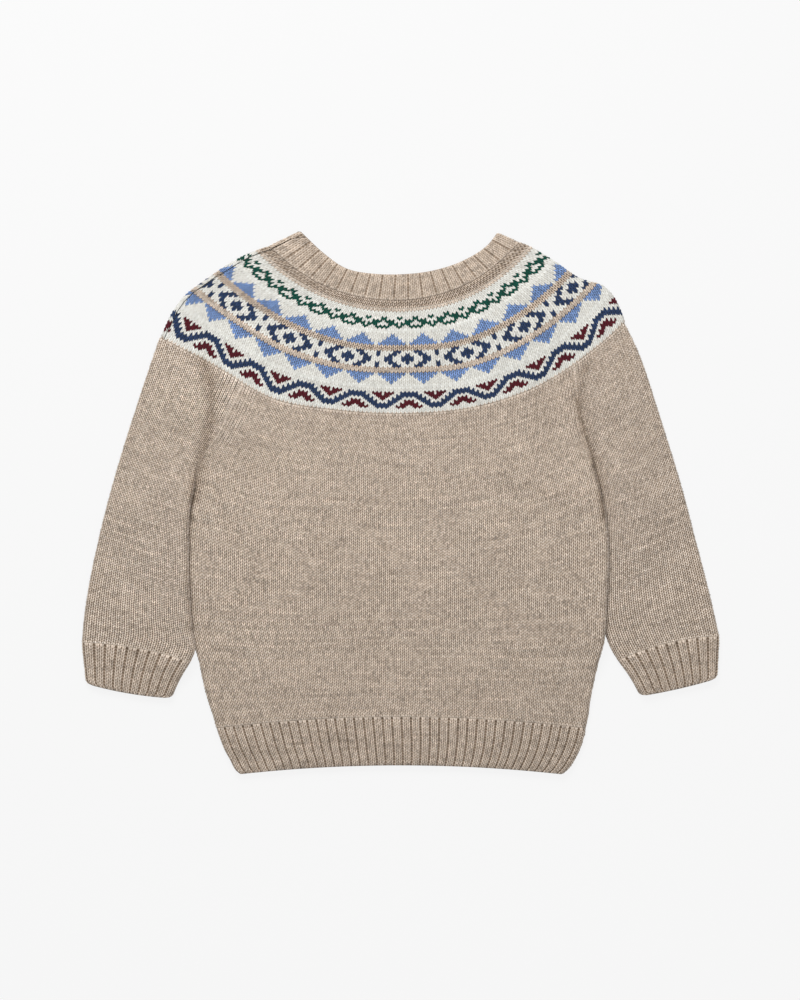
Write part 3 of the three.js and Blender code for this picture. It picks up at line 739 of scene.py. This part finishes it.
def knit_grid(shell, surface, under, columns, courses, v_range, to_across, colours, bake,
              rib=None, joins=(False, False), open_row_shade=None, painted_marks=None, shade_contrast=1.0):
    """Adds the stitches of one block to a shell and returns the ids of its grid."""
    step = np.arange(courses * 2 + 1)
    count = len(columns["place"])
    course = step[:, None] / 2 + columns["lean"][None, :] - LEAN / 2
    low, high = v_range
    v = np.clip(low + (high - low) * course / courses, low, high)
    v[0] = low + (HAIR if low > 0 else 0)
    v[-1] = high - (HAIR if high < 1 else 0)
    across = to_across(np.broadcast_to(columns["place"][None, :], v.shape), v)
    ridge = np.where(step % 2 == 1, 1.0, GAP_LEVEL)
    rng = np.random.default_rng(11 + courses + count)
    uneven = 1 + 0.2 * rng.standard_normal((courses * 2 + 1, 1 + count // 2))
    uneven = np.clip(np.repeat(uneven, 2, axis=1)[:, :count], 0.6, 1.4)
    share_up = columns["crest"][None, :] * ridge[:, None] * uneven
    share_up[:, [0, -1]] = JOIN_LEVEL
    for end, joined in ((0, joins[0]), (-1, joins[1])):
        if joined:
            share_up[end] = JOIN_LEVEL
    body = np.broadcast_to(columns["body"][None, :], v.shape)
    # Painted shade for every point: darker down between the legs and in the small holes
    between = (step % 2 == 0)[:, None] & (columns["crest"] < 0.3)[None, :]
    painted_shade = (1 - share_up) * LEG_SHADE + np.where(between, HOLE_SHADE, 0.0)
    painted_shade = mix(MEAN_SHADE, painted_shade, shade_contrast)
    painted_shade[:, [0, -1]] = JOIN_SHADE
    for end, joined in ((0, joins[0]), (-1, joins[1])):
        if joined:
            painted_shade[end] = JOIN_SHADE
    # Painted shade in the ribs: stitch shade calmed, and a set level down in the valleys
    if rib is not None:
        painted_shade = mix(MEAN_SHADE, painted_shade, rib["shade_strength"]) + (1 - body) * rib["painted_shade"]
        painted_shade = np.where(body < 0.2, mix(painted_shade, VALLEY_SHADE, 0.7), painted_shade)
    # Open oatmeal rounds: painted shade in the holes, a little on the legs
    if open_row_shade is not None:
        open_hole_shade = np.repeat(open_row_shade, 2)
        open_hole_shade = np.r_[open_hole_shade, open_hole_shade[-1:]][:, None]
        painted_shade = painted_shade + open_hole_shade * np.where(between, 1.0, 0.15)
    leg = LEG_HEIGHT * share_up
    if painted_marks is not None:
        # Open raglan wales: painted shade in the valleys, a little painted highlight on the crests
        painted_mark = painted_marks(columns["place"][None, :] + 0 * v, v)
        painted_shade = painted_shade + painted_mark * np.where(columns["crest"] < 0.1, 1.0, -0.3)[None, :]
    share = under(across, v)
    rib_out = 0.0
    if rib is not None:
        faded = 1.0
        for end, joined in ((0, joins[0]), (1, joins[1])):
            if joined:
                faded = faded * ease(rib["length"] * np.abs(v - end) / RIB_JOIN)
        rise = rib["rise"] * faded
        painted_shade = painted_shade - (1 - body) * rib["painted_shade"] * (1 - faded)
        rib_out = mix(-rise * body, UNDER_RIB * (1 - body), share)
    sink = mix(LEG_HEIGHT * 0.62, LEG_HEIGHT * 1.4, share)
    depth = sink - leg + rib_out
    if rib is not None:
        run = rib["length"] * np.abs(v - rib["free_end"])
        depth = depth + EDGE_ROUND * (1 - clamp01(run / EDGE_RUN)) ** 2
    depth = np.where(share > 0.5, np.maximum(depth, 0.02), depth)
    points = surface(across, v, depth)
    painted_shade = painted_shade + (1 - share) * crease_shade(points[..., 0], points[..., 1])
    knit = np.stack([np.broadcast_to(columns["place"][None, :], v.shape), course + low * 97], axis=-1)
    colours = heathered(colours, courses * 2, count - 1, rng)
    return shell.grid(points, knit, painted_shade, bake(across, v), colours)


class Shell:
    """Gathers the points and faces of one closed piece of cloth."""

    def __init__(self, name):
        self.name = name
        self.points = []
        self.knit = []
        self.painted_shade = []
        self.bake = []
        self.count = 0
        self.faces = []
        self.smooth = []
        self.colours = []

    def grid(self, points, knit, painted_shade, bake, colours, flip=False):
        rows, cols = points.shape[:2]
        ids = self.count + np.arange(rows * cols).reshape(rows, cols)
        self.count += rows * cols
        self.points.append(points.reshape(-1, 3))
        self.knit.append(knit.reshape(-1, 2))
        self.painted_shade.append(np.broadcast_to(painted_shade, (rows, cols)).reshape(-1))
        self.bake.append(bake.reshape(-1, 2))
        quads = np.stack([ids[:-1, :-1], ids[:-1, 1:], ids[1:, 1:], ids[1:, :-1]], axis=-1).reshape(-1, 4)
        if flip:
            quads = quads[:, ::-1]
        self.faces += quads.tolist()
        self.smooth += [True] * len(quads)
        self.colours.append(np.broadcast_to(colours, (rows - 1, cols - 1, 4)).reshape(-1, 4))
        return ids

    def shares(self, line):
        """How far along its line each point lies, from 0 to 1."""
        points = np.concatenate(self.points)[line]
        run = np.r_[0, np.cumsum(np.linalg.norm(np.diff(points, axis=0), axis=1))]
        return run / run[-1]

    def zip(self, above, below, colour, smooth):
        """Joins two lines of points with triangles, each along its own share of the way."""
        a_share = self.shares(above)
        b_share = self.shares(below)
        i = 0
        j = 0
        made = 0
        while i + 1 < len(above) or j + 1 < len(below):
            a_next = a_share[i + 1] if i + 1 < len(above) else 2.0
            b_next = b_share[j + 1] if j + 1 < len(below) else 2.0
            if a_next <= b_next:
                self.faces.append([int(above[i]), int(below[j]), int(above[i + 1])])
                i += 1
            else:
                self.faces.append([int(above[i]), int(below[j]), int(below[j + 1])])
                j += 1
            made += 1
        self.smooth += [smooth] * made
        self.colours.append(np.broadcast_to(colour, (made, 4)))

    def close(self, outer, inner, colour, free=(False, False)):
        """Rims between the outer blocks, from the bottom up, and the inner grid; a free edge is round."""
        self.zip(outer[0][0], inner[0], colour, free[0])
        self.zip(outer[-1][-1][::-1], inner[-1][::-1], colour, free[1])
        last = np.concatenate([block[:, -1] for block in outer])
        first = np.concatenate([block[:, 0] for block in outer])
        self.zip(last, inner[:, -1], colour, False)
        self.zip(first[::-1], inner[:, 0][::-1], colour, False)

    def build(self, material):
        points = np.concatenate(self.points) * MM
        faces = self.faces
        triangles = np.array([[f[0], f[k], f[k + 1]] for f in faces for k in range(1, len(f) - 1)])
        a, b, c = (points[triangles[:, k]] for k in range(3))
        if np.einsum("ij,ij->i", a, np.cross(b, c)).sum() < 0:
            faces = [f[::-1] for f in faces]
        mesh = bpy.data.meshes.new(self.name)
        mesh.from_pydata(points.tolist(), [], faces)
        corners = np.array([v for f in faces for v in f])
        sizes = np.array([len(f) for f in faces])
        bake = mesh.uv_layers.new(name="OFBake")
        bake.data.foreach_set("uv", np.concatenate(self.bake)[corners].astype(np.float32).ravel())
        knit = mesh.uv_layers.new(name="knit")
        knit.data.foreach_set("uv", np.concatenate(self.knit)[corners].astype(np.float32).ravel())
        colour = mesh.color_attributes.new("yarn", "FLOAT_COLOR", "CORNER")
        per_corner = np.repeat(np.concatenate(self.colours), sizes, axis=0)
        colour.data.foreach_set("color", per_corner.astype(np.float32).ravel())
        # painted shade of every point, read by the wool material
        painted_shade = mesh.attributes.new("painted_shade", "FLOAT", "POINT")
        painted_shade.data.foreach_set("value", np.concatenate(self.painted_shade).astype(np.float32))
        mesh.polygons.foreach_set("use_smooth", np.array(self.smooth, bool))
        mesh.materials.append(material)
        mesh.update()
        piece = bpy.data.objects.new(self.name, mesh)
        bpy.context.scene.collection.objects.link(piece)
        return piece


def inner_grid(shell, surface, across, v, colour, bake):
    """The plain inner side of a piece."""
    v_grid, a_grid = np.meshgrid(v, across, indexing="ij")
    points = surface(a_grid, v_grid, np.full(a_grid.shape, WALL))
    knit = np.stack([a_grid * 100, v_grid * 100], axis=-1)
    return shell.grid(points, knit, 0.3, bake(a_grid, v_grid), colour, flip=True)


def bake_box(low, high, bottom, top):
    """Bake layout: across and along spread over a strip of the square."""

    def place(across, v):
        u = 0.02 + 0.96 * clamp01((across - low) / (high - low))
        return np.stack([u, bottom + (top - bottom) * clamp01(v)], axis=-1)

    return place


# Materials
# Deep places in wool look browner than high ones, so where painted shade darkens the wool red, green and blue fall off
# differently
PAINTED_SHADE_WARMTH = (0.88, 1.0, 1.14)


def wool_material(name, streak, fuzz):
    material = bpy.data.materials.new(name)
    material.use_nodes = True
    tree = material.node_tree
    tree.nodes.clear()
    links = tree.links

    def add(kind, **settings):
        made = tree.nodes.new(kind)
        for key, value in settings.items():
            setattr(made, key, value)
        return made

    def scaled(source, factors):
        mapping = add("ShaderNodeMapping")
        mapping.inputs["Scale"].default_value = factors
        links.new(source, mapping.inputs["Vector"])
        return mapping.outputs["Vector"]

    def noise(vector, scale, detail):
        made = add("ShaderNodeTexNoise")
        made.inputs["Scale"].default_value = scale
        made.inputs["Detail"].default_value = detail
        links.new(vector, made.inputs["Vector"])
        return made.outputs["Fac"]

    def ranged(value, low_in, high_in, low_out, high_out):
        made = add("ShaderNodeMapRange")
        for socket, number in zip(("From Min", "From Max", "To Min", "To Max"), (low_in, high_in, low_out, high_out)):
            made.inputs[socket].default_value = number
        links.new(value, made.inputs["Value"])
        return made.outputs["Result"]

    def maths(operation, a, b):
        made = add("ShaderNodeMath", operation=operation)
        for socket, value in zip(made.inputs, (a, b)):
            if isinstance(value, (int, float)):
                socket.default_value = value
            else:
                links.new(value, socket)
        return made.outputs[0]

    yarn_colour = add("ShaderNodeAttribute", attribute_name="yarn")
    painted_shade = add("ShaderNodeAttribute", attribute_name="painted_shade")
    knit = add("ShaderNodeUVMap", uv_map="knit")
    place = add("ShaderNodeTexCoord")
    strand = noise(scaled(knit.outputs["UV"], (0.23, 1.0, 1.0)), 1.0, 2.0)
    fleck = noise(place.outputs["Object"], 620.0, 3.0)
    fibre = noise(place.outputs["Object"], 2600.0, 2.0)
    broad = noise(place.outputs["Object"], 26.0, 2.0)
    heather = maths("ADD", ranged(strand, 0.3, 0.7, -streak, streak), ranged(fleck, 0.3, 0.7, -0.12, 0.12))
    heather = maths("MULTIPLY", heather, yarn_colour.outputs["Alpha"])
    level = maths("ADD", heather, ranged(fibre, 0.3, 0.7, 0.93, 1.07))
    # Painted shade: the per-point shade level darkens the colour, less so for yarns with little heather
    depth = maths("MULTIPLY", painted_shade.outputs["Fac"], ranged(yarn_colour.outputs["Alpha"], 0.0, 1.0, 0.08, 0.92))
    level = maths("MULTIPLY", level, maths("MAXIMUM", maths("SUBTRACT", 1.04, depth), 0.1))
    level = maths("MULTIPLY", level, ranged(broad, 0.3, 0.7, 0.97, 1.03))
    tint = add("ShaderNodeMix", data_type="RGBA", blend_type="MULTIPLY")
    tint.inputs["Factor"].default_value = 1.0
    grey = add("ShaderNodeCombineColor")
    for socket, power in zip(grey.inputs, PAINTED_SHADE_WARMTH):
        links.new(maths("POWER", level, power), socket)
    links.new(yarn_colour.outputs["Color"], tint.inputs[6])
    links.new(grey.outputs[0], tint.inputs[7])
    bump = add("ShaderNodeBump")
    bump.inputs["Strength"].default_value = 0.35
    bump.inputs["Distance"].default_value = 0.0004
    links.new(maths("ADD", fibre, maths("MULTIPLY", fleck, 0.6)), bump.inputs["Height"])
    wool = add("ShaderNodeBsdfPrincipled")
    wool.inputs["Sheen Weight"].default_value = fuzz
    wool.inputs["Sheen Roughness"].default_value = 0.6
    wool.inputs["Specular IOR Level"].default_value = 0.25
    links.new(ranged(fibre, 0.3, 0.7, 0.82, 0.98), wool.inputs["Roughness"])
    links.new(tint.outputs[2], wool.inputs["Base Color"])
    links.new(bump.outputs["Normal"], wool.inputs["Normal"])
    output = add("ShaderNodeOutputMaterial")
    links.new(wool.outputs["BSDF"], output.inputs["Surface"])
    return material


plain_wool = wool_material("plain_wool", 0.07, 0.07)
rib_wool = wool_material("rib_wool", 0.07, 0.07)
pattern_wool = wool_material("pattern_wool", 0.1, 0.05)

OATMEAL = yarn("T")


def finish_piece(piece, node):
    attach(piece, "root")
    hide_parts(node)


def mark_patches(v):
    """Strength of the painted shade at the open wales, coming and going up a raglan edge once for every few narrowed
    rows.
    """
    return 0.55 + 0.45 * np.sin(v * 110)


# Body panels
def make_panel(node, upper):
    shell = Shell(node + "_knit")
    surface, under = panel_surface(upper, "body")
    columns = plain_columns(0, 105)
    bake = bake_box(0, 1, 0.2, 0.98)
    to_across = lambda place, v: place / 105

    def painted_marks(place, v):
        """Wales along each raglan edge, drawn open where the panel was narrowed: painted shade between them and a
        little painted highlight on them.
        """
        inside = np.minimum(place, 105 - place)
        strength = np.where(place < 52, 0.5, 0.2)
        return strength * ease((7 - inside) / 2) * ease((v - 0.76) / 0.06) * mark_patches(v)

    outer = knit_grid(shell, surface, under, columns, 113, (0.0, 1.0), to_across, OATMEAL, bake,
                      joins=(True, True), painted_marks=painted_marks)
    across = np.r_[0, 0.004, 0.009, 0.0137, np.linspace(0.03, 0.97, 40), 0.9863, 0.991, 0.996, 1]
    inner = inner_grid(shell, surface, across, np.linspace(0, 1, 28), OATMEAL, bake_box(0, 1, 0.02, 0.17))
    shell.close([outer], inner, OATMEAL)
    return shell.build(plain_wool)


def make_hem(node, upper):
    shell = Shell(node + "_rib")
    surface, under = panel_surface(upper, "hem")
    columns = rib_columns(0, HEM_RIBS, *WELT_RIB)
    bake = bake_box(0, 1, 0.2, 0.98)
    rib = {"length": 35.0, "free_end": 0.0, "rise": RIB_RISE, "painted_shade": WELT_VALLEY_SHADE, "shade_strength": WELT_SHADE_STRENGTH}
    to_across = lambda place, v: place / HEM_RIBS
    outer = knit_grid(shell, surface, under, columns, 18, (0.0, 1.0), to_across, OATMEAL, bake,
                      rib=rib, joins=(False, True))
    across = np.r_[0, 0.004, 0.009, 0.0137, np.linspace(0.03, 0.97, 40), 0.9863, 0.991, 0.996, 1]
    inner = inner_grid(shell, surface, across, np.linspace(0, 1, 6), OATMEAL, bake_box(0, 1, 0.02, 0.17))
    shell.close([outer], inner, OATMEAL, (True, False))
    return shell.build(rib_wool)


def round_shares(count):
    return np.linspace(0, 1, count)


def make_sleeve(side):
    shell = Shell("sleeve_%s_knit" % side)
    surface, under = tube_surface(sleeve_section(side), 71)
    columns = plain_columns(0, 51)
    bake = bake_box(0, 1, 0.2, 0.98)
    # courses are counted from the cuff up, and the section from the yoke down
    flipped = lambda a, v, depth: surface(a, 1 - v, depth)
    under_flipped = lambda a, v: under(a, 1 - v)
    highest = 0.85 if side == "left" else 0.91

    # Open raglan wales near the top, drawn as painted shade
    def painted_marks(place, v):
        return 0.55 * ease((8 - np.minimum(place, 51 - place)) / 2.5) * ease((v - highest) / 0.04) * mark_patches(v)

    outer = knit_grid(shell, flipped, under_flipped, columns, 120, (0.0, 1.0), lambda p, v: p / 51, OATMEAL, bake,
                      joins=(True, True), painted_marks=painted_marks, shade_contrast=SLEEVE_SHADE_CONTRAST)
    inner = inner_grid(shell, flipped, round_shares(70), np.linspace(0, 1, 30), OATMEAL, bake_box(0, 1, 0.02, 0.17))
    shell.close([outer], inner, OATMEAL)
    return shell.build(plain_wool)


def make_cuff(side):
    shell = Shell("cuff_%s_rib" % side)
    surface, under = tube_surface(cuff_section(side), 68)
    columns = rib_columns(0, CUFF_RIBS, *WELT_RIB)
    bake = bake_box(0, 1, 0.2, 0.98)
    rib = {"length": 29.0, "free_end": 0.0, "rise": RIB_RISE, "painted_shade": WELT_VALLEY_SHADE, "shade_strength": WELT_SHADE_STRENGTH}
    to_across = lambda place, v: place / CUFF_RIBS
    outer = knit_grid(shell, surface, under, columns, 15, (0.0, 1.0), to_across, OATMEAL, bake,
                      rib=rib, joins=(False, True))
    inner = inner_grid(shell, surface, round_shares(70), np.linspace(0, 1, 5), OATMEAL, bake_box(0, 1, 0.02, 0.17))
    shell.close([outer], inner, OATMEAL, (True, False))
    return shell.build(rib_wool)


# Yoke
def chart_colours(rounds, axis_column, bold, first, last):
    """Colour of every quad of a block: rounds are listed top first."""
    rows = []
    for chart_row in reversed(rounds):
        letters = [chart_row[(axis_column + stitch) % len(chart_row)] for stitch in range(first, last)]
        quarters = [letter for letter in letters for _ in range(4)]
        spread = list(quarters)
        for i in range(1, len(quarters) - 1):
            if quarters[i] == ".":
                beside = [side for side in (quarters[i - 1], quarters[i + 1]) if side in bold]
                spread[i] = beside[0] if beside else "."
        row = np.array([yarn(letter) for letter in spread])
        rows += [row, row]
    return np.array(rows)


def make_yoke():
    shell = Shell("yoke_knit")
    surface, under, limits = strip_surface(yoke_curve, lambda v: v, YOKE_OPENING)
    total = sum(len(group[-1]) for group in ROUND_GROUPS)
    blocks = []
    done = 0
    longest = 11.6
    for per_repeat, axis_column, centred, hole, bold, rounds in ROUND_GROUPS:
        first = math.floor(-4.0 * per_repeat)
        last = math.ceil(longest * per_repeat)
        offset = -0.5 if centred else 0.0
        columns = plain_columns(first, last, offset)
        v_range = (done / total, (done + len(rounds)) / total)
        colours = chart_colours(rounds, axis_column, bold, first, last)
        if done == 0:
            # the last oatmeal stitches of the body reach up between the first cream ones
            colours[0] = OATMEAL
        wave = WAVE[0] in rounds

        def to_across(place, v, per=per_repeat, wave=wave):
            right, left, seam, right_turn, left_turn, finish = limits(v)
            if wave:
                place = place + WAVE_SHIFT
                per = per * (1 + WAVE_FAN * (v * total - 3))
            return np.clip(place / per, seam, finish)

        open_row_shade = np.array([hole if row == "T" else 0.0 for row in reversed(rounds)])
        joins = (True, done + len(rounds) < total)
        half = 3.6
        front = bake_box(-4.0, half, 0.58, 0.98)
        back = bake_box(half, longest, 0.15, 0.55)
        bake = lambda a, v: np.where((a < half)[..., None], front(a, v), back(a, v))
        blocks.append(knit_grid(shell, surface, under, columns, len(rounds), v_range, to_across, colours, bake,
                                joins=joins, open_row_shade=open_row_shade))
        done += len(rounds)
    for lower, upper in zip(blocks, blocks[1:]):
        shell.zip(upper[0], lower[-1], yarn("."), True)
    v = np.linspace(0, 1, 12)
    share = np.linspace(0, 1, 150)
    v_grid, s_grid = np.meshgrid(v, share, indexing="ij")
    _, _, seam, _, _, finish = limits(v_grid)
    across = mix(seam, finish, s_grid)
    points = surface(across, v_grid, np.full(across.shape, WALL))
    knit = np.stack([across * 12, v_grid * 41], axis=-1)
    inner = shell.grid(points, knit, 0.3, bake_box(-4, longest, 0.02, 0.12)(across, v_grid), yarn("."), flip=True)
    shell.close(blocks, inner, yarn("."))
    return shell.build(pattern_wool)


def make_neckband():
    shell = Shell("neckband_rib")
    surface, under, limits = strip_surface(band_curve, lambda v: np.ones_like(v), BAND_OPENING)
    first = math.floor(-4.0 * NECK_RIBS_PER_REPEAT)
    last = math.ceil(11.9 * NECK_RIBS_PER_REPEAT)
    columns = rib_columns(first, last, *NECK_RIB)

    def to_across(place, v):
        _, _, seam, _, _, finish = limits(v)
        return np.clip(place / NECK_RIBS_PER_REPEAT, seam, finish)

    rib = {"length": BAND_DEPTH, "free_end": 1.0, "rise": NECK_RISE, "painted_shade": NECK_VALLEY_SHADE, "shade_strength": NECK_SHADE_STRENGTH}
    bake = bake_box(-4, 11.9, 0.2, 0.98)
    outer = knit_grid(shell, surface, under, columns, 9, (0.0, 1.0), to_across, OATMEAL, bake, rib=rib,
                      joins=(True, False))
    v_grid, s_grid = np.meshgrid(np.linspace(0, 1, 5), np.linspace(0, 1, 120), indexing="ij")
    _, _, seam, _, _, finish = limits(v_grid)
    across = mix(seam, finish, s_grid)
    points = surface(across, v_grid, np.full(across.shape, WALL))
    knit = np.stack([across * 12, v_grid * 9], axis=-1)
    inner = shell.grid(points, knit, 0.3, bake_box(-4, 11.9, 0.02, 0.17)(across, v_grid), OATMEAL, flip=True)
    shell.close([outer], inner, OATMEAL, (False, True))
    return shell.build(rib_wool)


finish_piece(make_panel("back", False), "back")
finish_piece(make_panel("front", True), "front")
finish_piece(make_sleeve("left"), "sleeve_left")
finish_piece(make_sleeve("right"), "sleeve_right")
finish_piece(make_yoke(), "yoke")
finish_piece(make_neckband(), "neckband")
finish_piece(make_hem("hem_back", False), "hem_back")
finish_piece(make_hem("hem_front", True), "hem_front")
finish_piece(make_cuff("left"), "cuff_left")
finish_piece(make_cuff("right"), "cuff_right")


# Floor, light and camera
def make_floor():
    mesh = bpy.data.meshes.new("floor")
    size = 12.0
    mesh.from_pydata([(-size, -size, 0), (size, -size, 0), (size, size, 0), (-size, size, 0)], [], [(0, 1, 2, 3)])
    floor = bpy.data.objects.new("floor", mesh)
    floor.location.z = -0.0002
    material = bpy.data.materials.new("paper")
    material.use_nodes = True
    shader = material.node_tree.nodes["Principled BSDF"]
    shader.inputs["Base Color"].default_value = (0.06, 0.06, 0.06, 1)
    shader.inputs["Emission Color"].default_value = (1, 1, 1, 1)
    shader.inputs["Emission Strength"].default_value = 0.862
    shader.inputs["Roughness"].default_value = 0.9
    shader.inputs["Specular IOR Level"].default_value = 0.1
    mesh.materials.append(material)
    bpy.context.scene.collection.objects.link(floor)


def make_light():
    world = bpy.data.worlds.new("studio")
    world.use_nodes = True
    background = world.node_tree.nodes["Background"]
    background.inputs["Color"].default_value = (1, 1, 1, 1)
    background.inputs["Strength"].default_value = 0.5
    bpy.context.scene.world = world
    for name, place, power, size in (
        ("top_light", (-0.25, 0.95, 1.0), 18.0, 0.6),
        ("side_light", (1.3, -0.5, 1.8), 6.0, 1.2),
    ):
        lamp = bpy.data.lights.new(name, "AREA")
        lamp.energy = power
        lamp.size = size
        light = bpy.data.objects.new(name, lamp)
        light.location = place
        towards = -np.array(place)
        flat = math.hypot(towards[0], towards[1])
        light.rotation_euler = (math.atan2(flat, -towards[2]), 0, math.atan2(towards[1], towards[0]) - math.pi / 2)
        bpy.context.scene.collection.objects.link(light)


def make_camera():
    data = bpy.data.cameras.new("camera")
    data.lens = 85
    data.sensor_width = 36
    data.sensor_fit = "AUTO"
    data.clip_start = 0.05
    data.clip_end = 60
    camera = bpy.data.objects.new("camera", data)
    view_height = 0.72
    camera.location = (-0.0004, 0.0018, view_height * data.lens / data.sensor_width)
    bpy.context.scene.collection.objects.link(camera)
    bpy.context.scene.camera = camera


make_floor()
make_light()
make_camera()
bpy.context.scene.view_settings.view_transform = "Standard"
